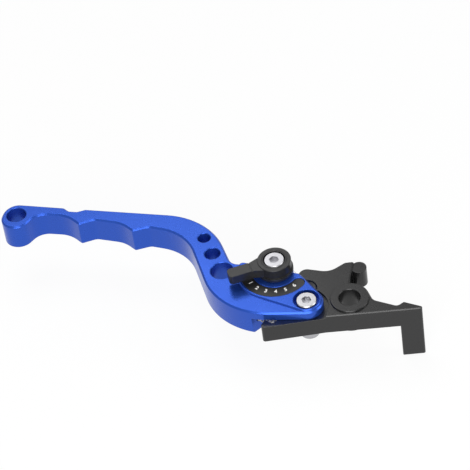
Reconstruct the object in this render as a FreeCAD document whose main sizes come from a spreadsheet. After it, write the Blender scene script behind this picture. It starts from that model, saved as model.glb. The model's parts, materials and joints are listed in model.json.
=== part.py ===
import FreeCAD, Part
import math
import os
import Sketcher
from FreeCAD import Placement, Rotation, Vector

# Adjustable hand lever for a motorcycle master cylinder, modelled in millimetres.
# Origin: centre of the perch pivot bore at the bracket's mid-plane.  +Z runs along that bore,
# towards the adjuster knob.  The blade's straight back runs along X with its tip towards -X,
# and the finger scallops face -Y.

os.makedirs("parts", exist_ok=True)
doc = FreeCAD.newDocument("clutch_lever")
sheet = doc.addObject("Spreadsheet::Sheet", "Sizes")

SIZES = {
    # bracket that turns on the perch bolt
    "perch_bore_dia": 10.0,
    "perch_collar_dia": 18.2,
    "perch_collar_rise": 1.0,
    "bracket_thick": 11.3,
    "tongue_step": 1.4,
    "bracket_edge": 0.5,
    "nose_rad": 3.8,
    "nose_px": -22.7,
    "nose_py": 13.2,
    "piston_boss_dia": 7.2,
    "piston_boss_len": 9.7,
    "piston_px": 0.6,
    "piston_py": 20.9,
    "arm_reach": 33.9,
    "tab_width": 10.2,
    "tab_drop": 25.2,
    "tail_reach": 37.9,
    # pivot between bracket and blade
    "pivot_px": -18.8,
    "pivot_py": -6.3,
    "pivot_wall": 2.1,
    "sleeve_dia": 8.0,
    "screw_dia": 6.0,
    "screw_head_dia": 9.7,
    "screw_head_thick": 3.0,
    "hex_socket": 4.0,
    "socket_depth": 2.0,
    "nut_flats": 10.0,
    "nut_height": 5.5,
    "nut_collar_len": 1.6,
    "thread_end": 0.8,
    "washer_dia": 12.0,
    "washer_thick": 1.0,
    "glide_washer_dia": 11.0,
    "glide_washer_thick": 0.5,
    # blade
    "blade_thick": 14.2,
    "ear_thick": 4.5,
    "ear_rad": 7.8,
    "ear_floor": 2.0,
    "plateau_rise": 0.9,
    "plateau_inset": 0.9,
    "blade_edge": 0.8,
    "grip_setback": 42.5,
    "finger_pitch": 27.2,
    "tip_overhang": 31.3,
    "tip_rad": 7.4,
    "tip_hole_dia": 9.4,
    "lightening_dia_a": 6.0,
    "lightening_dia_b": 7.4,
    "lightening_dia_c": 10.6,
    "head_well_dia": 12.2,
    # reach adjuster
    "adjuster_px": -36.5,
    "adjuster_py": 10.4,
    "adjuster_ring_rad": 8.3,
    "cam_well_rad": 14.0,
    "cam_thick": 7.8,
    "detent_count": 6,
    "detent_step": 20.0,
    "detent_depth": 0.12,
    "reach_ratio": 0.075,
    "spacer_dia": 9.0,
    "bush_dia": 11.0,
    "friction_washer_thick": 0.5,
    "knob_hub_dia": 15.7,
    "knob_flange_dia": 17.0,
    "knob_flange_thick": 1.5,
    "knob_height": 6.8,
    "handle_reach": 22.5,
    "handle_width": 5.8,
    "handle_low": 1.6,
    "handle_high": 6.3,
    "handle_angle": -151.0,
    "dial_inner_rad": 10.9,
    "dial_outer_rad": 16.8,
    "dial_depth": 0.7,
    "dial_plate_thick": 0.4,
    "dial_first_angle": -138.5,
    "dial_end_angle": 10.0,
    # return spring between blade and bracket tail
    "coil_dia": 4.0,
    "coil_wire": 0.7,
    "coil_turns": 6.0,
    "coil_level": 2.0,
    "coil_seat_depth": 1.6,
    "tail_slot_len": 2.6,
    # named clearances
    "fit_clear": 0.05,
    "press_clear": 0.02,
    "face_clear": 0.15,
    "nose_clear": 0.35,
    "ear_sweep_clear": 1.0,
}

for row, (alias, value) in enumerate(SIZES.items(), start=1):
    sheet.set("A%d" % row, alias)
    sheet.set("B%d" % row, str(value))
    sheet.setAlias("B%d" % row, alias)
doc.recompute()


def size(alias):
    """Value of one named size, in millimetres or degrees."""
    return float(getattr(sheet, alias))


# ---------------------------------------------------------------- levels and centres
bracket_top = size("bracket_thick") / 2
bracket_low = -bracket_top
tongue_top = bracket_top - size("tongue_step")
ear_low = tongue_top + size("face_clear")
blade_top = ear_low + size("ear_thick")
blade_low = blade_top - size("blade_thick")
plateau_top = blade_top + size("plateau_rise")
friction_low = plateau_top + size("fit_clear")
knob_low = friction_low + size("friction_washer_thick")
knob_top = knob_low + size("knob_height")

pivot = Vector(size("pivot_px"), size("pivot_py"), 0)
adjuster = Vector(size("adjuster_px"), size("adjuster_py"), 0)
nose = Vector(size("nose_px"), size("nose_py"), 0)

# Sheet expressions for the same levels, so that features follow the sheet.
BRACKET_LOW = "-Sizes.bracket_thick / 2"
TONGUE_TOP = "(Sizes.bracket_thick / 2 - Sizes.tongue_step)"
EAR_LOW = "(%s + Sizes.face_clear)" % TONGUE_TOP
BLADE_TOP = "(%s + Sizes.ear_thick)" % EAR_LOW
BLADE_LOW = "(%s - Sizes.blade_thick)" % BLADE_TOP
PLATEAU_TOP = "(%s + Sizes.plateau_rise)" % BLADE_TOP
EAR_FLOOR_TOP = "(%s + Sizes.ear_floor)" % EAR_LOW
CAM_TOP = "(%s - Sizes.face_clear)" % EAR_LOW
CAM_LOW = "(%s - Sizes.cam_thick)" % CAM_TOP
FRICTION_LOW = "(%s + Sizes.fit_clear)" % PLATEAU_TOP
KNOB_LOW = "(%s + Sizes.friction_washer_thick)" % FRICTION_LOW
KNOB_TOP = "(%s + Sizes.knob_height)" % KNOB_LOW


# ---------------------------------------------------------------- outlines
def outline(rounds):
    """Closed chain of arcs joined by their common tangents.

    rounds lists (x, y, radius) anticlockwise round the material.  A positive radius is an outside
    corner, a negative one a hollow, and 0 a sharp corner.
    """
    count = len(rounds)
    joints = []
    for index in range(count):
        x_from, y_from, r_from = rounds[index]
        x_to, y_to, r_to = rounds[(index + 1) % count]
        span = math.hypot(x_to - x_from, y_to - y_from)
        heading = math.atan2(y_to - y_from, x_to - x_from) - math.asin((r_to - r_from) / span)
        left = Vector(-math.sin(heading), math.cos(heading), 0)
        start = Vector(x_from, y_from, 0) - left * r_from
        end = Vector(x_to, y_to, 0) - left * r_to
        joints.append((start, end, heading))
    edges = []
    for index in range(count):
        x_mid, y_mid, radius = rounds[index]
        arrive = joints[index - 1]
        leave = joints[index]
        if abs(radius) > 1e-9:
            turn = (leave[2] - arrive[2]) % (2 * math.pi)
            if radius < 0:
                turn -= 2 * math.pi
            if 1.6 * math.pi < abs(turn) < 2 * math.pi - 1e-6:
                raise ValueError("round %d bends the wrong way" % index)
            if abs(turn) > 1e-6 and abs(abs(turn) - 2 * math.pi) > 1e-6:
                half = arrive[2] + turn / 2
                crown = Vector(x_mid + radius * math.sin(half), y_mid - radius * math.cos(half), 0)
                edges.append(Part.Arc(arrive[1], crown, leave[0]))
        if leave[0].distanceToPoint(leave[1]) > 1e-6:
            edges.append(Part.LineSegment(leave[0], leave[1]))
    return edges


def around(centre, radius, angle):
    """Point on a circle, with the angle in degrees from +X."""
    turn = math.radians(angle)
    return Vector(centre.x + radius * math.cos(turn), centre.y + radius * math.sin(turn), 0)


# ---------------------------------------------------------------- document helpers
def new_body(name):
    """Empty body whose label is the node's name."""
    body = doc.addObject("PartDesign::Body", name)
    body.Label = name
    return body


def origin_plane(body, role):
    """One of the body's own origin planes."""
    for feature in body.Origin.OriginFeatures:
        if feature.Role == role:
            return feature
    raise ValueError("no origin plane " + role)


def sketch_at(body, name, level, edges=(), circles=()):
    """Sketch parallel to XY at a level given as a sheet expression.

    circles lists (centre, radius expression); each radius is bound to the sheet.
    """
    sketch = body.newObject("Sketcher::SketchObject", name)
    sketch.AttachmentSupport = [(origin_plane(body, "XY_Plane"), "")]
    sketch.MapMode = "FlatFace"
    sketch.setExpression(".AttachmentOffset.Base.z", level)
    for edge in edges:
        sketch.addGeometry(edge, False)
    for centre, radius in circles:
        number = sketch.addGeometry(Part.Circle(centre, Vector(0, 0, 1), 1.0), False)
        rule = sketch.addConstraint(Sketcher.Constraint("Radius", number, 1.0))
        sketch.setExpression("Constraints[%d]" % rule, radius)
        sketch.addConstraint(Sketcher.Constraint("DistanceX", -1, 1, number, 3, centre.x))
        sketch.addConstraint(Sketcher.Constraint("DistanceY", -1, 1, number, 3, centre.y))
    doc.recompute()
    return sketch


def pad(body, name, sketch, length):
    """Pad of a sketch along +Z."""
    feature = body.newObject("PartDesign::Pad", name)
    feature.Profile = sketch
    feature.setExpression("Length", length)
    doc.recompute()
    return feature


def pocket(body, name, sketch, length, upward):
    """Pocket from the sketch, up or down; it must remove material."""
    before = body.Shape.Volume
    feature = body.newObject("PartDesign::Pocket", name)
    feature.Profile = sketch
    feature.Reversed = upward
    feature.setExpression("Length", length)
    doc.recompute()
    if body.Shape.Volume > before - 1e-6:
        raise ValueError(name + " cuts nothing")
    return feature


def edges_at(shape, level, keep=None):
    """Names of the edges that lie wholly at one level."""
    names = []
    for index, edge in enumerate(shape.Edges, start=1):
        box = edge.BoundBox
        if abs(box.ZMin - level) > 1e-4 or abs(box.ZMax - level) > 1e-4:
            continue
        if keep is None or keep(edge):
            names.append("Edge%d" % index)
    return names


def bevel(body, name, edge_names, width):
    """Chamfer on named edges of the body's tip."""
    base = body.Tip
    feature = body.newObject("PartDesign::Chamfer", name)
    feature.Base = (base, edge_names)
    feature.setExpression("Size", width)
    doc.recompute()
    return feature


def cylinder(name, centre, radius, low, height):
    """Upright Part::Cylinder bound to the sheet."""
    item = doc.addObject("Part::Cylinder", name)
    item.setExpression("Radius", radius)
    item.setExpression("Height", height)
    item.Placement = Placement(centre, Rotation())
    item.setExpression(".Placement.Base.z", low)
    return item


def hexagon(name, centre, flats, low, height):
    """Upright six-sided prism, sized across its flats."""
    item = doc.addObject("Part::Prism", name)
    item.Polygon = 6
    item.setExpression("Circumradius", flats + " / 2 / cos(30 deg)")
    item.setExpression("Height", height)
    item.Placement = Placement(centre, Rotation())
    item.setExpression(".Placement.Base.z", low)
    return item


def cut(name, base, tool):
    """Part::Cut of two objects."""
    item = doc.addObject("Part::Cut", name)
    item.Base = base
    item.Tool = tool
    return item


def fuse(name, items):
    """Part::MultiFuse of several objects."""
    item = doc.addObject("Part::MultiFuse", name)
    item.Shapes = items
    item.Refine = True
    return item


def common(name, base, tool):
    """Part::Common of two objects."""
    item = doc.addObject("Part::Common", name)
    item.Base = base
    item.Tool = tool
    return item


def ring(name, centre, outer, inner, low, height):
    """Plain ring: a cylinder with a through bore."""
    rim = cylinder(name + "_rim", centre, outer, low, height)
    hole = cylinder(name + "_hole", centre, inner, low + " - 1", height + " + 2")
    return cut(name, rim, hole)


# ---------------------------------------------------------------- bracket
half_bore = "Sizes.perch_bore_dia / 2"
tail_x = -size("tail_reach")
arm_x = size("arm_reach")
tab_x = arm_x - size("tab_width")
front_slope = math.tan(math.radians(12.9))
front_at_step = Vector(pivot.x + 9.2, pivot.y - 6.1, 0)


def bracket_front(x):
    """Y of the bracket's straight front face at x."""
    return front_at_step.y + (x - front_at_step.x) * front_slope


collar_base_rad = size("perch_collar_dia") / 2 + 0.4
pivot_boss_rad = size("sleeve_dia") / 2 + size("pivot_wall")
throat_rad = 4.8
web_x = size("piston_px") - 2.7

bracket_rounds = [
    (nose.x, nose.y, size("nose_rad")),
    (pivot.x - 2.5, pivot.y + pivot_boss_rad + throat_rad - 0.05, -throat_rad),
    (pivot.x, pivot.y, pivot_boss_rad),
    (pivot.x - pivot_boss_rad - 3.7, pivot.y - 3.7, -2.2),
    (tail_x + 2.0, pivot.y - 10.6, 1.2),
    (tail_x + 1.3, pivot.y - 13.3, 1.3),
    (front_at_step.x, front_at_step.y, 0),
    (arm_x - 0.9, bracket_front(arm_x - 0.9) + 1.0, 0.9),
    (tab_x + 1.5, bracket_front(tab_x) + 5.0, 0.7),
    (tab_x - 2.1, bracket_front(tab_x) + 5.6, -2.4),
    (collar_base_rad + 3.7, 4.3, -4.0),
    (0, 0, collar_base_rad),
    (web_x + 1.0, math.sqrt((collar_base_rad + 1.1) ** 2 - (web_x + 1.0) ** 2), -1.0),
    (web_x - 0.9, size("piston_py") + 1.9, 0.9),
    (web_x - 3.0, size("piston_py") - 0.2, 2.4),
    (nose.x + 6.9, nose.y + size("nose_rad") + 7.7, -8.1),
]
bracket = new_body("bracket")
bracket_plan = sketch_at(bracket, "bracket_plan", BRACKET_LOW, outline(bracket_rounds))
pad(bracket, "bracket_plate", bracket_plan, "Sizes.bracket_thick")
bevel(
    bracket,
    "bracket_bevel",
    edges_at(bracket.Shape, bracket_top) + edges_at(bracket.Shape, bracket_low),
    "Sizes.bracket_edge",
)

# Collars where the bracket rubs in the perch, one on each face.
collar_plan = sketch_at(
    bracket,
    "collar_plan",
    BRACKET_LOW + " - Sizes.perch_collar_rise",
    circles=[(Vector(0, 0, 0), "Sizes.perch_collar_dia / 2")],
)
pad(bracket, "perch_collars", collar_plan, "Sizes.bracket_thick + 2 * Sizes.perch_collar_rise")
collar_top = bracket_top + size("perch_collar_rise")
bevel(
    bracket,
    "collar_bevel",
    edges_at(bracket.Shape, collar_top) + edges_at(bracket.Shape, -collar_top),
    "0.6 * Sizes.bracket_edge",
)

# Upright boss that pushes the master cylinder's piston.
boss_plan = sketch_at(
    bracket,
    "boss_plan",
    "-Sizes.piston_boss_len / 2",
    circles=[(Vector(size("piston_px"), size("piston_py"), 0), "Sizes.piston_boss_dia / 2")],
)
pad(bracket, "piston_boss", boss_plan, "Sizes.piston_boss_len")

# Blade of the arm that works the lever switch; it hangs below the bracket.
tab_rounds = [
    (tab_x + 0.7, bracket_front(tab_x + 0.7) + 0.7, 0.7),
    (arm_x - 0.9, bracket_front(arm_x - 0.9) + 1.0, 0.9),
    (tab_x + 1.5, bracket_front(tab_x) + 5.0, 0.7),
    (tab_x + 0.9, bracket_front(tab_x) + 4.6, 0.7),
]
tab_plan = sketch_at(bracket, "tab_plan", "-Sizes.tab_drop", outline(tab_rounds))
pad(bracket, "switch_tab", tab_plan, "Sizes.tab_drop + 0.8 * Sizes.bracket_thick / 2")
bevel(bracket, "tab_bevel", edges_at(bracket.Shape, -size("tab_drop")), "Sizes.bracket_edge")

# Step that lets the blade's ear lie over the tongue, cleared for the ear's sweep.
ear_corner = Vector(pivot.x - 6.8, pivot.y + 15.3, 0)
ear_corner_rad = 1.6
sweep_rad = size("ear_rad") + size("ear_sweep_clear")
step_rounds = [
    (tail_x - 8, pivot.y - 25, 0),
    (pivot.x + sweep_rad + 0.6, pivot.y - 25, 0),
    (pivot.x, pivot.y, sweep_rad + 1.1),
    (ear_corner.x, ear_corner.y, ear_corner_rad + size("ear_sweep_clear")),
    (tail_x - 8, ear_corner.y + 4, 0),
]
step_plan = sketch_at(bracket, "step_plan", TONGUE_TOP, outline(step_rounds))
pocket(bracket, "tongue_step", step_plan, "Sizes.tongue_step + 1", True)

# Bores: perch bolt, pivot sleeve and the seat of the glide washer.
perch_plan = sketch_at(
    bracket, "perch_plan", BRACKET_LOW + " - 2", circles=[(Vector(0, 0, 0), half_bore)]
)
pocket(bracket, "perch_bore", perch_plan, "Sizes.bracket_thick + 4", True)
bevel(
    bracket,
    "perch_bore_bevel",
    edges_at(bracket.Shape, collar_top, lambda e: e.BoundBox.XMax < size("perch_bore_dia") / 2 + 0.1)
    + edges_at(bracket.Shape, -collar_top, lambda e: e.BoundBox.XMax < size("perch_bore_dia") / 2 + 0.1),
    "0.6 * Sizes.bracket_edge",
)
sleeve_plan = sketch_at(
    bracket,
    "sleeve_plan",
    BRACKET_LOW + " - 1",
    circles=[(pivot, "Sizes.sleeve_dia / 2 + Sizes.press_clear")],
)
pocket(bracket, "sleeve_bore", sleeve_plan, "Sizes.bracket_thick", True)
glide_plan = sketch_at(
    bracket,
    "glide_plan",
    EAR_LOW + " - Sizes.fit_clear - Sizes.glide_washer_thick",
    circles=[(pivot, "Sizes.glide_washer_dia / 2 + Sizes.fit_clear")],
)
pocket(bracket, "glide_seat", glide_plan, "Sizes.glide_washer_thick + 1", True)

# Ends of the return spring's gap: the blade's end wall and the tail's slanted end.
blade_seat = Vector(pivot.x - 21.2, pivot.y - 5.9, size("coil_level"))
tail_seat = Vector(pivot.x - 15.1, pivot.y - 8.6, size("coil_level"))
coil_axis = (tail_seat - blade_seat).normalize()
coil_side = Vector(-coil_axis.y, coil_axis.x, 0)


def blind_seat(body, name, mouth, inward):
    """Round blind seat for one end of the spring; it must remove material."""
    before = body.Shape.Volume
    seat = body.newObject("PartDesign::SubtractiveCylinder", name)
    seat.setExpression("Radius", "Sizes.coil_dia / 2 + 0.3")
    seat.setExpression("Height", "Sizes.coil_seat_depth + 2")
    seat.Placement = Placement(mouth - inward * 2, Rotation(Vector(0, 0, 1), inward))
    doc.recompute()
    if body.Shape.Volume > before - 1e-6:
        raise ValueError(name + " cuts nothing")


# Slot in the tail, open at the top, that shows the spring's last turns.
slot_half = coil_side * (size("coil_dia") / 2 + 0.3)
slot_mouth = tail_seat - coil_axis * 3
slot_end = tail_seat + coil_axis * size("tail_slot_len")
slot_corners = [slot_mouth - slot_half, slot_end - slot_half, slot_end + slot_half,
                slot_mouth + slot_half]
for corner in slot_corners:
    corner.z = 0
slot_edges = [Part.LineSegment(slot_corners[i - 1], slot_corners[i]) for i in range(4)]
slot_plan = sketch_at(bracket, "slot_plan", "Sizes.coil_level - Sizes.coil_dia / 2 - 0.3", slot_edges)
pocket(bracket, "tail_slot", slot_plan, "Sizes.coil_dia + 3", True)

# ---------------------------------------------------------------- blade
back = size("grip_setback")
tip_x = -168.6
ridge_rad = 1.0
ridge_one = tip_x + size("tip_overhang")
ridge_two = ridge_one + size("finger_pitch")
groove_y = back + 0.1
ring_fillet = around(adjuster, size("adjuster_ring_rad") + 1.0, 7.4)
blade_rounds = [
    (tip_x, back - size("tip_rad"), size("tip_rad")),
    (tip_x - 0.4, back - size("tip_rad") - 1.5, size("tip_rad") - 0.3),
    (ridge_one - 16.9, back - 13.8, -8.3),
    (ridge_one - 11.5, back - 19.4, -14.0),
    (ridge_one, back - 9.1, ridge_rad),
    (ridge_one + 7.6, back - 11.8, -5.0),
    (ridge_one + 15.8, back - 21.5, -14.0),
    (ridge_two, back - 11.1, ridge_rad),
    (ridge_two + 7.7, back - 14.1, -5.0),
    (ridge_two + 10.4, back - 33.8, -24.2),
    (adjuster.x - 2.2, adjuster.y + 7.3, 34.1),
    (pivot.x, pivot.y, size("ear_rad")),
    (ear_corner.x, ear_corner.y, ear_corner_rad),
    (ring_fillet.x, ring_fillet.y, -0.9),
    (adjuster.x, adjuster.y, size("adjuster_ring_rad")),
    (adjuster.x - 8.6, adjuster.y + 5.1, -1.5),
    (adjuster.x - 19.3, adjuster.y + 8.6, -5.0),
    (-95.5, back - 34.7, 35.0),
    (-136.0, back - 1.5, 1.5),
    (-140.7, groove_y, -2.0),
    (-143.8, groove_y, -2.0),
    (-147.7, back - 1.5, 1.5),
]
blade = new_body("blade")
blade_plan = sketch_at(blade, "blade_plan", BLADE_LOW, outline(blade_rounds))
pad(blade, "blade_plate", blade_plan, "Sizes.blade_thick")
bevel(
    blade,
    "blade_bevel",
    edges_at(blade.Shape, blade_top) + edges_at(blade.Shape, blade_low),
    "Sizes.blade_edge",
)

# Raised pad under the dial, following the ear and the adjuster's ring.
plateau_rounds = [
    (adjuster.x, adjuster.y, size("dial_outer_rad") + 1.1),
    (pivot.x, pivot.y, size("ear_rad") - size("plateau_inset")),
    (ear_corner.x, ear_corner.y, ear_corner_rad - 0.8),
    (ring_fillet.x, ring_fillet.y, -1.7),
    (adjuster.x, adjuster.y, size("adjuster_ring_rad") - 0.8),
    (adjuster.x - 8.6, adjuster.y + 5.1, -2.3),
    (adjuster.x - 16.0, adjuster.y + 1.9, 1.85),
]
plateau_plan = sketch_at(blade, "plateau_plan", BLADE_TOP + " - 0.5", outline(plateau_rounds))
pad(blade, "plateau", plateau_plan, "Sizes.plateau_rise + 0.5")
bevel(blade, "plateau_bevel", edges_at(blade.Shape, plateau_top), "0.5 * Sizes.blade_edge")

# Weight-saving holes, smallest nearest the grip, and the large one through the tip.
holes_plan = sketch_at(
    blade,
    "holes_plan",
    BLADE_TOP + " + 1",
    circles=[
        (Vector(tip_x - 0.6, back - 7.3, 0), "Sizes.tip_hole_dia / 2"),
        (Vector(adjuster.x - 38.2, adjuster.y + 18.5, 0), "Sizes.lightening_dia_a / 2"),
        (Vector(adjuster.x - 32.1, adjuster.y + 8.7, 0), "Sizes.lightening_dia_b / 2"),
        (Vector(adjuster.x - 25.3, adjuster.y - 1.8, 0), "Sizes.lightening_dia_c / 2"),
    ],
)
pocket(blade, "lightening_holes", holes_plan, "Sizes.blade_thick + 2", False)


def hole_rim(edge):
    """True for a whole circle, such as a hole's rim."""
    return edge.isClosed() and edge.Curve.TypeId == "Part::GeomCircle"


bevel(
    blade,
    "hole_bevel",
    edges_at(blade.Shape, blade_top, hole_rim) + edges_at(blade.Shape, blade_low, hole_rim),
    "0.4 * Sizes.blade_edge",
)

# Underside: the well that houses the cam, and the space the bracket's tongue and tail swing in.
cam_well_plan = sketch_at(
    blade, "cam_well_plan", EAR_LOW, circles=[(adjuster, "Sizes.cam_well_rad")]
)
pocket(blade, "cam_well", cam_well_plan, "Sizes.blade_thick", False)
end_wall_low = Vector(pivot.x - 25.0, pivot.y - 10.7, 0)
end_wall_high = Vector(pivot.x - 18.6, pivot.y - 2.5, 0)
tongue_well_rounds = [
    (end_wall_low.x - 7.8, end_wall_low.y - 10.0, 0),
    (size("arm_reach"), end_wall_low.y - 10.0, 0),
    (size("arm_reach"), nose.y + 4, 0),
    (ear_corner.x - 4, nose.y + 4, 0),
    (pivot.x - 5.6, pivot.y + 9.7, 0),
    (pivot.x - 2.5, pivot.y + 7.95, 0),
    (pivot.x - 6.5, pivot.y + 3.3, 0),
    (pivot.x - 12.9, pivot.y - 0.9, 0),
    (end_wall_high.x, end_wall_high.y, 0),
]
tongue_well_plan = sketch_at(blade, "tongue_well_plan", EAR_LOW, outline(tongue_well_rounds))
pocket(blade, "tongue_well", tongue_well_plan, "Sizes.blade_thick", False)
blind_seat(blade, "blade_seat", blade_seat, coil_axis * -1)

# Bores of the ear and of the adjuster's bush.
ear_bore_plan = sketch_at(
    blade,
    "ear_bore_plan",
    PLATEAU_TOP + " + 1",
    circles=[(pivot, "Sizes.sleeve_dia / 2 + Sizes.fit_clear")],
)
pocket(blade, "ear_bore", ear_bore_plan, "Sizes.blade_thick", False)
head_well_plan = sketch_at(
    blade, "head_well_plan", EAR_FLOOR_TOP, circles=[(pivot, "Sizes.head_well_dia / 2")]
)
pocket(blade, "head_well", head_well_plan, "Sizes.ear_thick", True)
bush_bore_plan = sketch_at(
    blade,
    "bush_bore_plan",
    PLATEAU_TOP + " + 1",
    circles=[(adjuster, "Sizes.bush_dia / 2 + Sizes.press_clear")],
)
pocket(blade, "bush_bore", bush_bore_plan, "Sizes.blade_thick", False)


def arc_slot(centre, inner, outer, first, last):
    """Curved slot with round ends about a centre; angles in degrees, first below last."""
    middle = (inner + outer) / 2
    half = (outer - inner) / 2
    centre_angle = (first + last) / 2
    near = around(centre, middle, first)
    far = around(centre, middle, last)
    return [
        Part.Arc(around(centre, outer, first), around(centre, outer, centre_angle), around(centre,
                                                                                           outer, last)),
        Part.Arc(around(centre, outer, last), around(far, half, last + 90), around(centre, inner, last)),
        Part.Arc(around(centre, inner, last), around(centre, inner, centre_angle), around(centre,
                                                                                          inner, first)),
        Part.Arc(around(centre, inner, first), around(near, half, first - 90), around(centre, outer,
                                                                                      first)),
    ]


detents = int(size("detent_count"))
dial_first = size("dial_first_angle") - size("dial_end_angle")
dial_last = size("dial_first_angle") + size("detent_step") * (detents - 1) + size("dial_end_angle")
dial_plan = sketch_at(
    blade,
    "dial_plan",
    PLATEAU_TOP + " - Sizes.dial_depth",
    arc_slot(adjuster, size("dial_inner_rad"), size("dial_outer_rad"), dial_first, dial_last),
)
pocket(blade, "dial_recess", dial_plan, "Sizes.dial_depth + 1", True)

number_plate = new_body("number_plate")
plate_gap = 2 * size("fit_clear")
plate_plan = sketch_at(
    number_plate,
    "plate_plan",
    PLATEAU_TOP + " - Sizes.dial_depth",
    arc_slot(
        adjuster,
        size("dial_inner_rad") + plate_gap,
        size("dial_outer_rad") - plate_gap,
        dial_first,
        dial_last,
    ),
)
pad(number_plate, "plate", plate_plan, "Sizes.dial_plate_thick")

# ---------------------------------------------------------------- cam
def nose_from_blade(turn):
    """Centre of the bracket's nose seen from the blade, when the adjuster has turned so far."""
    swing = Rotation(Vector(0, 0, 1), -turn * size("reach_ratio"))
    return pivot + swing.multVec(nose - pivot)


def follower(turn):
    """Distance and bearing of the nose from the adjuster, bearing in the cam's own frame."""
    away = nose_from_blade(turn) - adjuster
    return away.Length, math.degrees(math.atan2(away.y, away.x)) - turn


def cam_point(radius, bearing, rounding):
    """One entry of the cam's outline."""
    centre = around(adjuster, radius, bearing)
    return (centre.x, centre.y, rounding)


standoff = size("nose_rad") + size("nose_clear")
crest_round = 1.0
# Seven rounded crests with flats between them: one flat for each of the six positions.
crest_turns = [size("detent_step") * (index - 0.5) for index in range(detents + 1)]
crest_rounds = []
for crest_turn in crest_turns:
    reach_now, bearing_now = follower(crest_turn)
    crest_rounds.append((reach_now - standoff + size("detent_depth"), bearing_now))
cam_rounds = []
for crest_reach, crest_bearing in reversed(crest_rounds):
    cam_rounds.append(cam_point(crest_reach - crest_round, crest_bearing, crest_round))
back_bearing = crest_rounds[-1][1] - 41.0
back_shift = (crest_rounds[-1][0] - crest_rounds[0][0]) / 1.7
back_rad = crest_rounds[0][0] - 0.3 + 0.95 * back_shift
cam_rounds.append(cam_point(back_shift, back_bearing, back_rad))

cam = new_body("cam")
cam_plan = sketch_at(cam, "cam_plan", CAM_LOW, outline(cam_rounds))
pad(cam, "cam_plate", cam_plan, "Sizes.cam_thick")
cam_bore_plan = sketch_at(
    cam, "cam_bore_plan", CAM_TOP + " + 1", circles=[(adjuster,
                                                      "Sizes.screw_dia / 2 + Sizes.press_clear")]
)
pocket(cam, "cam_bore", cam_bore_plan, "Sizes.cam_thick + 2", False)

# ---------------------------------------------------------------- knob
knob = new_body("adjuster_knob")
flange_plan = sketch_at(knob, "flange_plan", KNOB_LOW, circles=[(adjuster, "Sizes.knob_flange_dia / 2")])
pad(knob, "knob_flange", flange_plan, "Sizes.knob_flange_thick")
hub_plan = sketch_at(knob, "hub_plan", KNOB_LOW, circles=[(adjuster, "Sizes.knob_hub_dia / 2")])
pad(knob, "knob_hub", hub_plan, "Sizes.knob_height")
hub_rad = size("knob_hub_dia") / 2
half_handle = size("handle_width") / 2
handle_end = size("handle_reach")
neck = hub_rad + 3.4
handle_local = [
    (0, 0, hub_rad - 1.6),
    (neck, -half_handle - 2.0, -2.0),
    (handle_end - 1.8, -half_handle + 1.8, 1.8),
    (handle_end - 1.8, half_handle - 1.8, 1.8),
    (neck, half_handle + 2.0, -2.0),
]
handle_turn = Rotation(Vector(0, 0, 1), size("handle_angle"))
handle_rounds = []
for local_x, local_y, rounding in handle_local:
    moved = adjuster + handle_turn.multVec(Vector(local_x, local_y, 0))
    handle_rounds.append((moved.x, moved.y, rounding))
handle_plan = sketch_at(knob, "handle_plan", KNOB_LOW + " + Sizes.handle_low", outline(handle_rounds))
pad(knob, "knob_handle", handle_plan, "Sizes.handle_high - Sizes.handle_low")

grip_line = [
    handle_turn.multVec(Vector(neck + shift_x, shift_y, 0)) + adjuster
    for shift_x, shift_y in ((0, -hub_rad), (0.5, -hub_rad), (0.5, hub_rad), (0, hub_rad))
]
grip_line_edges = [Part.LineSegment(grip_line[i - 1], grip_line[i]) for i in range(4)]
grip_line_plan = sketch_at(knob, "grip_line_plan", KNOB_LOW + " + Sizes.handle_high + 1",
                           grip_line_edges)
pocket(knob, "grip_line", grip_line_plan, "1.35", False)
bevel(knob, "knob_bevel", edges_at(knob.Shape, knob_top), "0.5 * Sizes.bracket_edge")
recess_plan = sketch_at(
    knob, "recess_plan", KNOB_TOP + " + 1", circles=[(adjuster, "Sizes.screw_head_dia / 2 + 0.35")]
)
pocket(knob, "head_recess", recess_plan, "Sizes.screw_head_thick + 1.15", False)
knob_bore_plan = sketch_at(
    knob,
    "knob_bore_plan",
    KNOB_TOP + " + 1",
    circles=[(adjuster, "Sizes.screw_dia / 2 + Sizes.press_clear")],
)
pocket(knob, "knob_bore", knob_bore_plan, "Sizes.knob_height + 2", False)

# ---------------------------------------------------------------- turned and bought parts
SHANK = "Sizes.screw_dia / 2"
BORE = "Sizes.screw_dia / 2 + Sizes.press_clear"
HEAD_LOW = "(%s + Sizes.face_clear)" % EAR_FLOOR_TOP
KNOB_HEAD_LOW = "(%s - Sizes.screw_head_thick - 0.15)" % KNOB_TOP
PIVOT_NUT_TOP = "(-Sizes.bracket_thick / 2 - Sizes.washer_thick)"
CAM_NUT_TOP = "(%s - Sizes.washer_thick)" % CAM_LOW


def cap_screw(name, centre, head_low, nut_top):
    """Low cap screw with a hex socket, long enough to stand out of its nut."""
    shank_low = "(%s - Sizes.nut_height - Sizes.thread_end)" % nut_top
    head = cylinder(name + "_head", centre, "Sizes.screw_head_dia / 2", head_low,
                    "Sizes.screw_head_thick")
    shank = cylinder(name + "_shank", centre, SHANK, shank_low, head_low + " - " + shank_low + " + 1")
    socket = hexagon(
        name + "_socket",
        centre,
        "Sizes.hex_socket",
        head_low + " + Sizes.screw_head_thick - Sizes.socket_depth",
        "Sizes.socket_depth + 1",
    )
    solid = fuse(name + "_solid", [head, shank])
    doc.recompute()
    rim = doc.addObject("Part::Chamfer", name + "_rim")
    rim.Base = solid
    tips = (solid.Shape.BoundBox.ZMin, solid.Shape.BoundBox.ZMax)
    found = []
    for number, edge in enumerate(solid.Shape.Edges, start=1):
        box = edge.BoundBox
        if box.ZMax - box.ZMin < 1e-6 and min(abs(box.ZMin - tip) for tip in tips) < 1e-6:
            found.append((number, 0.4, 0.4))
    rim.Edges = found
    return cut(name, rim, socket)


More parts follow.
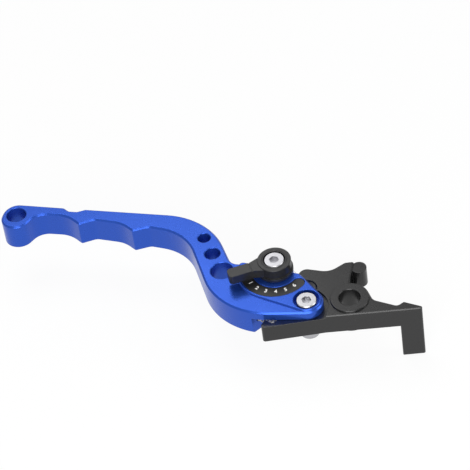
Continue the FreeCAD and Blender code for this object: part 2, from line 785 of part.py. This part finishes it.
def lock_nut(name, centre, top):
    """Hex lock nut with the round collar that holds its nylon ring, collar downwards."""
    hex_low = "%s - Sizes.nut_height + Sizes.nut_collar_len" % top
    body_hex = hexagon(name + "_hex", centre, "Sizes.nut_flats", hex_low,
                       "Sizes.nut_height - Sizes.nut_collar_len")
    cone = doc.addObject("Part::Cone", name + "_cone")
    cone.setExpression("Radius1", "Sizes.nut_flats / 2 - 0.2")
    cone.setExpression("Radius2", "Sizes.nut_flats / 2 - 0.2 + 1.73 * Sizes.nut_height")
    cone.setExpression("Height", "Sizes.nut_height")
    cone.Placement = Placement(centre, Rotation())
    cone.setExpression(".Placement.Base.z", hex_low)
    faced = common(name + "_faced", body_hex, cone)
    collar = cylinder(name + "_collar", centre, "Sizes.nut_flats / 2 - 0.5",
                      top + " - Sizes.nut_height", "Sizes.nut_height - 1")
    solid = fuse(name + "_solid", [faced, collar])
    hole = cylinder(name + "_thread", centre, BORE, top + " - Sizes.nut_height - 1",
                    "Sizes.nut_height + 2")
    seat = cylinder(
        name + "_seat",
        centre,
        "Sizes.screw_dia / 2 + 1.1",
        top + " - Sizes.nut_height - 1",
        "Sizes.nut_collar_len + 0.7",
    )
    return cut(name, solid, fuse(name + "_cutter", [hole, seat]))


def nut_insert(name, centre, top):
    """Nylon locking ring inside a lock nut's collar."""
    low = top + " - Sizes.nut_height + 0.2"
    return ring(name, centre, "Sizes.screw_dia / 2 + 1.1 - Sizes.press_clear", BORE, low,
                "Sizes.nut_collar_len - 0.5")


cap_screw("pivot_screw", pivot, HEAD_LOW, PIVOT_NUT_TOP)
ring(
    "pivot_sleeve",
    pivot,
    "Sizes.sleeve_dia / 2",
    BORE,
    BRACKET_LOW,
    HEAD_LOW + " + Sizes.bracket_thick / 2",
)
ring(
    "glide_washer",
    pivot,
    "Sizes.glide_washer_dia / 2",
    "Sizes.sleeve_dia / 2 + Sizes.fit_clear",
    EAR_LOW + " - Sizes.fit_clear - Sizes.glide_washer_thick",
    "Sizes.glide_washer_thick",
)
ring("pivot_washer", pivot, "Sizes.washer_dia / 2", BORE, PIVOT_NUT_TOP, "Sizes.washer_thick")
lock_nut("pivot_nut", pivot, PIVOT_NUT_TOP)
nut_insert("pivot_nut_insert", pivot, PIVOT_NUT_TOP)

cap_screw("adjuster_screw", adjuster, KNOB_HEAD_LOW, CAM_NUT_TOP)
ring(
    "adjuster_bush",
    adjuster,
    "Sizes.bush_dia / 2",
    "Sizes.spacer_dia / 2 + Sizes.fit_clear",
    EAR_LOW,
    "Sizes.ear_thick + Sizes.plateau_rise",
)
ring("adjuster_spacer", adjuster, "Sizes.spacer_dia / 2", BORE, CAM_TOP, KNOB_LOW + " - " + CAM_TOP)
ring(
    "friction_washer",
    adjuster,
    "Sizes.knob_flange_dia / 2 - 0.8",
    "Sizes.spacer_dia / 2 + Sizes.fit_clear",
    FRICTION_LOW,
    "Sizes.friction_washer_thick",
)
ring("cam_washer", adjuster, "Sizes.washer_dia / 2", BORE, CAM_NUT_TOP, "Sizes.washer_thick")
lock_nut("cam_nut", adjuster, CAM_NUT_TOP)
nut_insert("cam_nut_insert", adjuster, CAM_NUT_TOP)

# Return spring, a coil whose ends sit in the two blind seats.
coil_start = blade_seat - coil_axis * (size("coil_seat_depth") - 0.5)
coil_end = tail_seat + coil_axis * (size("tail_slot_len") - 0.5)
coil_length = (coil_end - coil_start).Length
coil_path = doc.addObject("Part::Helix", "coil_path")
coil_path.setExpression("Radius", "(Sizes.coil_dia - Sizes.coil_wire) / 2")
coil_path.setExpression("Pitch", "%.6f / Sizes.coil_turns" % coil_length)
coil_path.Height = coil_length
coil_path.Placement = Placement(coil_start, Rotation(Vector(0, 0, 1), coil_axis))
coil_section = doc.addObject("Part::Circle", "coil_section")
coil_section.setExpression("Radius", "Sizes.coil_wire / 2")
coil_turn = Rotation(Vector(0, 0, 1), coil_axis)
coil_edge = coil_start + coil_turn.multVec(Vector((size("coil_dia") - size("coil_wire")) / 2, 0, 0))
coil_section.Placement = Placement(coil_edge, coil_turn * Rotation(Vector(1, 0, 0), 90))
doc.recompute()
coil = doc.addObject("Part::Sweep", "return_spring")
coil.Sections = [coil_section]
coil.Spine = (coil_path, ["Edge%d" % (index + 1) for index in range(len(coil_path.Shape.Edges))])
coil.Solid = True
coil.Frenet = True
doc.recompute()

# ---------------------------------------------------------------- check and write
NODES = [
    "bracket",
    "pivot_sleeve",
    "pivot_screw",
    "pivot_washer",
    "pivot_nut",
    "pivot_nut_insert",
    "glide_washer",
    "return_spring",
    "blade",
    "number_plate",
    "adjuster_bush",
    "adjuster_knob",
    "adjuster_screw",
    "adjuster_spacer",
    "friction_washer",
    "cam",
    "cam_washer",
    "cam_nut",
    "cam_nut_insert",
]
for item in doc.Objects:
    if "Invalid" in item.State or "Error" in item.State:
        raise ValueError("%s did not build" % item.Name)
for name in NODES:
    item = doc.getObject(name)
    item.Label = name
    if item.Shape.isNull() or not item.Shape.isValid():
        raise ValueError(name + " has no valid shape")
    if len(item.Shape.Solids) != 1:
        raise ValueError("%s has %d solids" % (name, len(item.Shape.Solids)))
    item.Shape.exportStep("parts/%s.step" % name)
    box = item.Shape.BoundBox
    print("%-18s %8.0f mm3  z %6.2f to %6.2f" % (name, item.Shape.Volume, box.ZMin, box.ZMax))
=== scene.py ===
"""Looks of an adjustable clutch lever: finishes, dial markings, studio and camera.

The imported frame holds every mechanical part.  This script gives each part its finish and adds the
printed numbers, the lip round the knob's recess and the screws' exposed threads.
"""

from __future__ import annotations

import json
import logging
import math
from dataclasses import dataclass
from enum import Enum

import bpy
from mathutils import Matrix, Vector
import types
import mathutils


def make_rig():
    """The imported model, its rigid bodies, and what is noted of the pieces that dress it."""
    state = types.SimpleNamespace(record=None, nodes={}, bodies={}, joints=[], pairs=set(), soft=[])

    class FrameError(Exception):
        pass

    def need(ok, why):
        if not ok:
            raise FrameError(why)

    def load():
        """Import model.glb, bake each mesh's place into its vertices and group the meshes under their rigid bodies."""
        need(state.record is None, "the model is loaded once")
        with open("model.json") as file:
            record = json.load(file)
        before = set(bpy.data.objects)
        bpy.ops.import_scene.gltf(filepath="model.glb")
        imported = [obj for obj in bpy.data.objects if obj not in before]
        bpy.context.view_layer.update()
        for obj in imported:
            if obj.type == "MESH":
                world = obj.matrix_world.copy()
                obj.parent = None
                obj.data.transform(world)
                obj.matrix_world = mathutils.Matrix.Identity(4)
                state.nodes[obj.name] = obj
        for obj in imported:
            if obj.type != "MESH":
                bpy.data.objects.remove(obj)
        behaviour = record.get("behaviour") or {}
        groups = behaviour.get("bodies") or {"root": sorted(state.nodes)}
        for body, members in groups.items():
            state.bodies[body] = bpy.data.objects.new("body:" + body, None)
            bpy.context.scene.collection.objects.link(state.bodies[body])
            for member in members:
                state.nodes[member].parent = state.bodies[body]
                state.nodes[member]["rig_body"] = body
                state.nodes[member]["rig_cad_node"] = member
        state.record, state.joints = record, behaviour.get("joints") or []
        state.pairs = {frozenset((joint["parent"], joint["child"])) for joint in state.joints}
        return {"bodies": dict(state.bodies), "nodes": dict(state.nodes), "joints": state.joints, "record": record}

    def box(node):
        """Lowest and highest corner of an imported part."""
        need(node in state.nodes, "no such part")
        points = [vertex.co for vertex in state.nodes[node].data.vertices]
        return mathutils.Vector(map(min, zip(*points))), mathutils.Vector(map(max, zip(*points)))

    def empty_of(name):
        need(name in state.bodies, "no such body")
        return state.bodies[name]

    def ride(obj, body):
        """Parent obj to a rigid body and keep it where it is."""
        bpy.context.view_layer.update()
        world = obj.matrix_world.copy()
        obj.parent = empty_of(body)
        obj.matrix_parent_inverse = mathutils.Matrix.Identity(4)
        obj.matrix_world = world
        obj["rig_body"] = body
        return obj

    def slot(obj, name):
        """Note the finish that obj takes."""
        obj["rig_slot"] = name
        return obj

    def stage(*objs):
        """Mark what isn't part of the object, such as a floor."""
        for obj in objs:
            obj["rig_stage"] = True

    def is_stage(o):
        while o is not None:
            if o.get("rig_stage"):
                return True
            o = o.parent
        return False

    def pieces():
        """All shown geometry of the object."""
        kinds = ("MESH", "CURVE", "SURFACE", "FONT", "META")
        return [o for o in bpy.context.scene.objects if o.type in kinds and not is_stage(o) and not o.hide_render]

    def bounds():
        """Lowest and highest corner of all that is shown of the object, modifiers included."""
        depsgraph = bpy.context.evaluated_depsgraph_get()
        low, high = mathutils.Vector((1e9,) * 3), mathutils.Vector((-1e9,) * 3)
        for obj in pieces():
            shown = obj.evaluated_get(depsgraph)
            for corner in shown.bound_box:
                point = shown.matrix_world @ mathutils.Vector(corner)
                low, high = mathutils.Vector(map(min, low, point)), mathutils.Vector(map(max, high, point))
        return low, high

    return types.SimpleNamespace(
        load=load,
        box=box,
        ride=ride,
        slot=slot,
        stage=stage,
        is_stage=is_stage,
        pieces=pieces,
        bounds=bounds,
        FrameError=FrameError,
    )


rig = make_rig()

LOG = logging.getLogger("clutch_lever")
MM = 0.001
SIZE_FILE = "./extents.json"

# Small-scale patterns: texture scales, their detail and the depth of the relief.
CLOUD_SCALE = 90.0
CLOUD_DETAIL = 3.0
BLASTED_SCALE = 2600.0
SMOOTH_SCALE = 500.0
GRAIN_DETAIL = 2.0
TURNED_SCALE = 900.0
TURNED_WOBBLE = 0.4
RELIEF_DEPTH = 0.05 * MM
EDGE_SAMPLES = 6

# Space between the lowest point of the lever and the floor.
FLOOR_GAP = 0.5 * MM


class Surface(Enum):
    """How a finish scatters light on the small scale."""

    BLASTED = "blasted"
    TURNED = "turned"
    SMOOTH = "smooth"


@dataclass(frozen=True)
class Finish:
    """One procedural finish.

    Args:
        name: material name.
        colour: linear base colour.
        metallic: 0 for paint and plastic, 1 for bare metal.
        roughness: mean roughness.
        surface: kind of small-scale relief.
        relief: strength of that relief.
        variation: how far the roughness wanders across the part.
        edge_radius: rounding shown on sharp edges, in metres.
    """

    name: str
    colour: tuple[float, float, float]
    metallic: float
    roughness: float
    surface: Surface = Surface.SMOOTH
    relief: float = 0.05
    variation: float = 0.06
    edge_radius: float = 0.25 * MM

    def build(self) -> bpy.types.Material:
        """Makes the node material.

        Returns:
            The finished material.
        """
        material = bpy.data.materials.new(self.name)
        material.use_nodes = True
        nodes = material.node_tree.nodes
        links = material.node_tree.links
        shader = nodes["Principled BSDF"]
        shader.inputs["Base Color"].default_value = (*self.colour, 1.0)
        shader.inputs["Metallic"].default_value = self.metallic
        place = nodes.new("ShaderNodeTexCoord")

        cloud = nodes.new("ShaderNodeTexNoise")
        cloud.inputs["Scale"].default_value = CLOUD_SCALE
        cloud.inputs["Detail"].default_value = CLOUD_DETAIL
        links.new(place.outputs["Object"], cloud.inputs["Vector"])
        spread = nodes.new("ShaderNodeMapRange")
        spread.inputs["To Min"].default_value = self.roughness - self.variation
        spread.inputs["To Max"].default_value = self.roughness + self.variation
        links.new(cloud.outputs["Fac"], spread.inputs["Value"])
        links.new(spread.outputs["Result"], shader.inputs["Roughness"])

        rounded = nodes.new("ShaderNodeBevel")
        rounded.samples = EDGE_SAMPLES
        rounded.inputs["Radius"].default_value = self.edge_radius
        bump = nodes.new("ShaderNodeBump")
        bump.inputs["Strength"].default_value = self.relief
        bump.inputs["Distance"].default_value = RELIEF_DEPTH
        links.new(rounded.outputs["Normal"], bump.inputs["Normal"])
        links.new(self._relief(nodes, links, place), bump.inputs["Height"])
        links.new(bump.outputs["Normal"], shader.inputs["Normal"])
        return material

    def _relief(
        self, nodes: bpy.types.Nodes, links: bpy.types.NodeLinks, place: bpy.types.Node
    ) -> bpy.types.NodeSocket:
        """Adds the small-scale height pattern.

        Args:
            nodes: the material's nodes.
            links: the material's links.
            place: the texture coordinate node.

        Returns:
            The socket that holds the height.
        """
        if self.surface is Surface.TURNED:
            rings = nodes.new("ShaderNodeTexWave")
            rings.wave_type = "RINGS"
            rings.rings_direction = "Z"
            rings.inputs["Scale"].default_value = TURNED_SCALE
            rings.inputs["Distortion"].default_value = TURNED_WOBBLE
            links.new(place.outputs["Object"], rings.inputs["Vector"])
            return rings.outputs["Fac"]
        grain = nodes.new("ShaderNodeTexNoise")
        blasted = self.surface is Surface.BLASTED
        grain.inputs["Scale"].default_value = BLASTED_SCALE if blasted else SMOOTH_SCALE
        grain.inputs["Detail"].default_value = GRAIN_DETAIL
        links.new(place.outputs["Object"], grain.inputs["Vector"])
        return grain.outputs["Fac"]


class Paint(Enum):
    """Every finish on the lever."""

    BLUE = Finish(
        "anodised_blue", (0.021, 0.080, 0.45), 0.72, 0.27, Surface.BLASTED, 0.10, edge_radius=0.45 * MM
    )
    BLACK = Finish(
        "anodised_black", (0.006, 0.006, 0.0063), 0.0, 0.26, Surface.BLASTED, 0.10, edge_radius=0.4 * MM
    )
    KNOB = Finish("knob_black", (0.010, 0.010, 0.0103), 0.0, 0.36, Surface.BLASTED, 0.08)
    PLATE = Finish("plate_black", (0.006, 0.006, 0.006), 0.0, 0.42, Surface.SMOOTH, 0.03)
    ZINC = Finish("zinc_steel", (0.44, 0.44, 0.46), 1.0, 0.26, Surface.SMOOTH, 0.04)
    STEEL = Finish("steel", (0.60, 0.60, 0.61), 1.0, 0.28, Surface.TURNED, 0.06)
    SPRING = Finish("spring_steel", (0.50, 0.50, 0.52), 1.0, 0.30, Surface.SMOOTH, 0.02, edge_radius=0.1 * MM)
    BRONZE = Finish("bronze", (0.55, 0.36, 0.16), 1.0, 0.34, Surface.TURNED, 0.05)
    NYLON = Finish("nylon", (0.74, 0.74, 0.70), 0.0, 0.5, Surface.SMOOTH, 0.03)
    INK = Finish("dial_ink", (0.86, 0.86, 0.85), 0.0, 0.55, Surface.SMOOTH, 0.0, edge_radius=0.02 * MM)


NODE_PAINT: dict[str, Paint] = {
    "bracket": Paint.BLACK,
    "pivot_sleeve": Paint.STEEL,
    "pivot_screw": Paint.ZINC,
    "pivot_washer": Paint.ZINC,
    "pivot_nut": Paint.ZINC,
    "pivot_nut_insert": Paint.NYLON,
    "glide_washer": Paint.BRONZE,
    "return_spring": Paint.SPRING,
    "blade": Paint.BLUE,
    "number_plate": Paint.PLATE,
    "adjuster_bush": Paint.BRONZE,
    "adjuster_knob": Paint.KNOB,
    "adjuster_screw": Paint.ZINC,
    "adjuster_spacer": Paint.STEEL,
    "friction_washer": Paint.SPRING,
    "cam": Paint.STEEL,
    "cam_washer": Paint.ZINC,
    "cam_nut": Paint.ZINC,
    "cam_nut_insert": Paint.NYLON,
}


class Paintbox:
    """Builds each finish once and puts it on objects."""

    def __init__(self) -> None:
        self._made: dict[Paint, bpy.types.Material] = {}

    def apply(self, item: bpy.types.Object, paint: Paint) -> None:
        """Replaces an object's materials by one finish.

        Args:
            item: the object to paint.
            paint: which finish.
        """
        if paint not in self._made:
            self._made[paint] = paint.value.build()
        item.data.materials.clear()
        item.data.materials.append(self._made[paint])


def deselect() -> None:
    """Leaves nothing selected and nothing active."""
    bpy.ops.object.select_all(action="DESELECT")
    bpy.context.view_layer.objects.active = None


def join(items: list[bpy.types.Object], name: str) -> bpy.types.Object:
    """Joins objects into one and applies its transform.

    Args:
        items: the objects, all meshes.
        name: the piece's name.

    Returns:
        The joined object, at the origin and unrotated.
    """
    deselect()
    for item in items:
        item.select_set(True)
    bpy.context.view_layer.objects.active = items[0]
    if len(items) > 1:
        bpy.ops.object.join()
    bpy.ops.object.transform_apply(location=True, rotation=True, scale=True)
    joined = bpy.context.view_layer.objects.active
    joined.name = name
    joined.data.name = name
    deselect()
    return joined


def around(centre: Vector, radius: float, angle: float, level: float) -> Vector:
    """Point on a level circle.

    Args:
        centre: the circle's centre.
        radius: its radius in metres.
        angle: degrees from +X.
        level: height in metres.

    Returns:
        The point.
    """
    turn = math.radians(angle)
    return Vector((centre.x + radius * math.cos(turn), centre.y + radius * math.sin(turn), level))


@dataclass
class Layout:
    """Places read from the frame, in metres."""

    adjuster: Vector
    pivot: Vector
    knob_top: float
    plate_top: float
    screw_ends: dict[str, float]

    @classmethod
    def from_frame(cls) -> "Layout":
        """Measures the frame's nodes.

        Returns:
            The layout.
        """
        adjuster_low, adjuster_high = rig.box("cam_washer")
        pivot_low, pivot_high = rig.box("pivot_washer")
        adjuster = (Vector(adjuster_low) + Vector(adjuster_high)) / 2
        pivot = (Vector(pivot_low) + Vector(pivot_high)) / 2
        return cls(
            adjuster=Vector((adjuster.x, adjuster.y, 0)),
            pivot=Vector((pivot.x, pivot.y, 0)),
            knob_top=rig.box("adjuster_knob")[1][2],
            plate_top=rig.box("number_plate")[1][2],
            screw_ends={
                "pivot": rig.box("pivot_screw")[0][2],
                "adjuster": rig.box("adjuster_screw")[0][2],
            },
        )


@dataclass
class Dial:
    """Markings of the reach adjuster's dial: plain position numbers on an arc about the knob."""

    layout: Layout
    first_angle: float = -138.5
    step: float = 20.0
    count: int = 6
    radius: float = 13.4 * MM
    height: float = 2.8 * MM
    ink: float = 0.06 * MM
    bolder: float = 0.06 * MM
    curve_steps: int = 3

    def numbers(self) -> bpy.types.Object:
        """Prints the position numbers on the plate.

        Returns:
            One mesh that holds every number.
        """
        made = []
        for index in range(self.count):
            angle = self.first_angle + self.step * index
            place = around(self.layout.adjuster, self.radius, angle, self.layout.plate_top + self.ink / 2)
            deselect()
            bpy.ops.object.text_add(location=place, rotation=(0, 0, math.radians(angle + 90)))
            digit = bpy.context.active_object
            digit.data.body = str(index + 1)
            digit.data.size = self.height
            digit.data.align_x = "CENTER"
            digit.data.align_y = "CENTER"
            digit.data.extrude = self.ink / 2
            digit.data.offset = self.bolder
            digit.data.resolution_u = self.curve_steps
            bpy.ops.object.convert(target="MESH")
            made.append(bpy.context.active_object)
        return join(made, "position_numbers")


@dataclass
class Knob:
    """Raised details of the adjuster's knob."""

    layout: Layout
    lip_radius: float = 5.85 * MM
    lip_bead: float = 0.32 * MM
    lip_sink: float = 0.12 * MM

    def collar(self) -> bpy.types.Object:
        """Makes the raised lip round the screw's recess.

        Returns:
            The lip.
        """
        deselect()
        centre = self.layout.adjuster
        bpy.ops.mesh.primitive_torus_add(
            location=(centre.x, centre.y, self.layout.knob_top - self.lip_sink),
            major_segments=96,
            minor_segments=16,
            major_radius=self.lip_radius,
            minor_radius=self.lip_bead,
        )
        lip = bpy.context.active_object
        bpy.ops.object.shade_smooth()
        return join([lip], "knob_lip")


@dataclass
class ThreadEnd:
    """Exposed end of a screw below its nut."""

    name: str
    centre: Vector
    low: float
    radius: float = 3.0 * MM
    pitch: float = 0.4 * MM
    turns: int = 2
    first_crest: float = 0.9
    crest_sink: float = 0.04 * MM
    crest_bead: float = 0.14 * MM

    def build(self) -> bpy.types.Object:
        """Makes the crests that show beyond the nut.

        Returns:
            The crests as one piece.
        """
        made = []
        for turn in range(self.turns):
            deselect()
            level = self.low + self.pitch * (turn + self.first_crest)
            bpy.ops.mesh.primitive_torus_add(
                location=(self.centre.x, self.centre.y, level),
                major_segments=64,
                minor_segments=8,
                major_radius=self.radius - self.crest_sink,
                minor_radius=self.crest_bead,
            )
            bpy.ops.object.shade_smooth()
            made.append(bpy.context.active_object)
        return join(made, self.name)


@dataclass
class Studio:
    """Pale floor, soft lamps and world."""

    floor_level: float
    aim: Vector
    floor_side: float = 6.0
    floor_paint: float = 0.9
    floor_glow: float = 0.90
    ambient: float = 0.40
    mirrored_share: float = 0.45

    def floor(self) -> None:
        """Makes a pale floor that keeps the object's shadow."""
        deselect()
        bpy.ops.mesh.primitive_plane_add(size=self.floor_side, location=(0, 0, self.floor_level))
        plane = bpy.context.active_object
        plane.name = "floor"
        material = bpy.data.materials.new("floor")
        material.use_nodes = True
        nodes = material.node_tree.nodes
        links = material.node_tree.links
        shader = nodes["Principled BSDF"]
        paint = self.floor_paint
        shader.inputs["Base Color"].default_value = (paint, paint, paint, 1.0)
        shader.inputs["Roughness"].default_value = 0.9
        glow = nodes.new("ShaderNodeEmission")
        glow.inputs["Color"].default_value = (1.0, 1.0, 1.0, 1.0)
        rays = nodes.new("ShaderNodeLightPath")
        seen = nodes.new("ShaderNodeMath")
        seen.operation = "MAXIMUM"
        links.new(rays.outputs["Is Camera Ray"], seen.inputs[0])
        links.new(rays.outputs["Is Glossy Ray"], seen.inputs[1])
        share = nodes.new("ShaderNodeMath")
        share.operation = "MULTIPLY"
        share.inputs[1].default_value = self.floor_glow
        links.new(seen.outputs["Value"], share.inputs[0])
        mix = nodes.new("ShaderNodeMixShader")
        links.new(share.outputs["Value"], mix.inputs["Fac"])
        links.new(shader.outputs["BSDF"], mix.inputs[1])
        links.new(glow.outputs["Emission"], mix.inputs[2])
        side = nodes.new("ShaderNodeNewGeometry")
        clear = nodes.new("ShaderNodeBsdfTransparent")
        one_sided = nodes.new("ShaderNodeMixShader")
        links.new(side.outputs["Backfacing"], one_sided.inputs["Fac"])
        links.new(mix.outputs["Shader"], one_sided.inputs[1])
        links.new(clear.outputs["BSDF"], one_sided.inputs[2])
        links.new(one_sided.outputs["Shader"], nodes["Material Output"].inputs["Surface"])
        plane.data.materials.append(material)
        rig.stage(plane)

    def world(self) -> None:
        """Sets a grey world that shows as white to the camera and as pale grey in reflections."""
        world = bpy.data.worlds.new("studio")
        bpy.context.scene.world = world
        world.use_nodes = True
        nodes = world.node_tree.nodes
        links = world.node_tree.links
        background = nodes["Background"]
        background.inputs["Color"].default_value = (1.0, 1.0, 1.0, 1.0)
        rays = nodes.new("ShaderNodeLightPath")
        strength = nodes.new("ShaderNodeMapRange")
        strength.inputs["To Min"].default_value = self.ambient
        strength.inputs["To Max"].default_value = 1.0
        mirrored = nodes.new("ShaderNodeMath")
        mirrored.operation = "MULTIPLY"
        mirrored.inputs[1].default_value = self.mirrored_share
        links.new(rays.outputs["Is Glossy Ray"], mirrored.inputs[0])
        seen = nodes.new("ShaderNodeMath")
        seen.operation = "MAXIMUM"
        links.new(rays.outputs["Is Camera Ray"], seen.inputs[0])
        links.new(mirrored.outputs["Value"], seen.inputs[1])
        links.new(seen.outputs["Value"], strength.inputs["Value"])
        links.new(strength.outputs["Result"], background.inputs["Strength"])

    def lamp(self, name: str, offset: tuple[float, float, float], size: float, watts: float) -> None:
        """Hangs one soft square lamp that faces the object.

        Args:
            name: the lamp's name.
            offset: place relative to the aim point, in metres.
            size: side of the square, in metres.
            watts: power.
        """
        place = self.aim + Vector(offset)
        deselect()
        bpy.ops.object.light_add(type="AREA", location=place)
        lamp = bpy.context.active_object
        lamp.name = name
        lamp.data.size = size
        lamp.data.energy = watts
        lamp.rotation_euler = (self.aim - place).to_track_quat("-Z", "Y").to_euler()

    def build(self) -> None:
        """Sets up the whole studio."""
        self.floor()
        self.world()
        self.lamp("key", (-0.25, 0.30, 0.75), 0.55, 2.4)
        self.lamp("front", (0.20, -0.80, 0.40), 0.70, 8.0)
        self.lamp("side", (0.75, 0.10, 0.45), 0.40, 1.5)


@dataclass(frozen=True)
class Viewpoint:
    """Long-lens camera, given by where one point of the object falls in the picture."""

    azimuth: float = 17.7
    elevation: float = 44.5
    roll: float = 8.5
    focal_length: float = 200.0
    sensor: float = 36.0
    distance: float = 1.198
    anchor: tuple[float, float, float] = (0.0, 0.0, 0.007)
    anchor_right: float = 0.2434
    anchor_down: float = 0.1309
    nearest: float = 0.05
    farthest: float = 20.0

    def build(self) -> bpy.types.Object:
        """Places the camera.

        Returns:
            The camera, made the scene's own.
        """
        turn = math.radians(self.azimuth)
        rise = math.radians(self.elevation)
        tilt = math.radians(self.roll)
        back = Vector(
            (math.sin(turn) * math.cos(rise), -math.cos(turn) * math.cos(rise), math.sin(rise))
        )
        level = Vector((math.cos(turn), math.sin(turn), 0.0))
        upright = back.cross(level)
        right = level * math.cos(tilt) - upright * math.sin(tilt)
        up = level * math.sin(tilt) + upright * math.cos(tilt)
        frame_width = self.sensor / self.focal_length * self.distance
        place = (
            Vector(self.anchor)
            + back * self.distance
            - right * (self.anchor_right * frame_width)
            + up * (self.anchor_down * frame_width)
        )
        bpy.ops.object.camera_add(location=place)
        camera = bpy.context.active_object
        camera.data.lens = self.focal_length
        camera.data.sensor_width = self.sensor
        camera.data.clip_start = self.nearest
        camera.data.clip_end = self.farthest
        axes = Matrix((right, up, back)).transposed()
        camera.matrix_world = Matrix.Translation(place) @ axes.to_4x4()
        bpy.context.scene.camera = camera
        return camera


@dataclass(frozen=True)
class Addition:
    """One visual piece, with the body that carries it and its finish.

    Args:
        piece: the finished object.
        body: name of the body that it rides on.
        paint: its finish.
        slot: the material slot that it shares, or None if it has none.
    """

    piece: bpy.types.Object
    body: str
    paint: Paint
    slot: str | None

    def place(self, paintbox: Paintbox) -> None:
        """Paints the piece and makes it ride on its body.

        Args:
            paintbox: the source of the finishes.
        """
        paintbox.apply(self.piece, self.paint)
        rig.ride(self.piece, self.body)
        if self.slot is not None:
            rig.slot(self.piece, self.slot)
        LOG.info("%s rides on %s", self.piece.name, self.body)


def note_size(label: str) -> None:
    """Args:
        label: when the bounds were taken.
    """
    low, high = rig.bounds()
    mode = "w" if label == "frame" else "a"
    with open(SIZE_FILE, mode, encoding="utf-8") as out:
        out.write(json.dumps({"when": label, "low": list(low), "high": list(high)}) + "\n")


def main() -> None:
    """Paints the frame, adds the small pieces and sets up the picture."""
    logging.basicConfig(level=logging.INFO)
    for start_item in list(bpy.data.objects):
        bpy.data.objects.remove(start_item)
    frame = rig.load()
    note_size("frame")
    bpy.context.scene.view_settings.view_transform = "Standard"
    paintbox = Paintbox()
    for name, node in frame["nodes"].items():
        paintbox.apply(node, NODE_PAINT[name])

    layout = Layout.from_frame()
    pivot_thread = ThreadEnd("pivot_thread", layout.pivot, layout.screw_ends["pivot"])
    adjuster_thread = ThreadEnd("adjuster_thread", layout.adjuster, layout.screw_ends["adjuster"])
    additions = [
        Addition(Dial(layout).numbers(), "blade", Paint.INK, None),
        Addition(Knob(layout).collar(), "adjuster", Paint.KNOB, "knob_black"),
        Addition(pivot_thread.build(), "bracket", Paint.ZINC, "zinc_steel"),
        Addition(adjuster_thread.build(), "adjuster", Paint.ZINC, "zinc_steel"),
    ]
    for addition in additions:
        addition.place(paintbox)

    low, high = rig.bounds()
    centre = (Vector(low) + Vector(high)) / 2
    Studio(floor_level=low[2] - FLOOR_GAP, aim=centre).build()
    Viewpoint().build()
    note_size("finished")


if __name__ == "__main__":
    main()
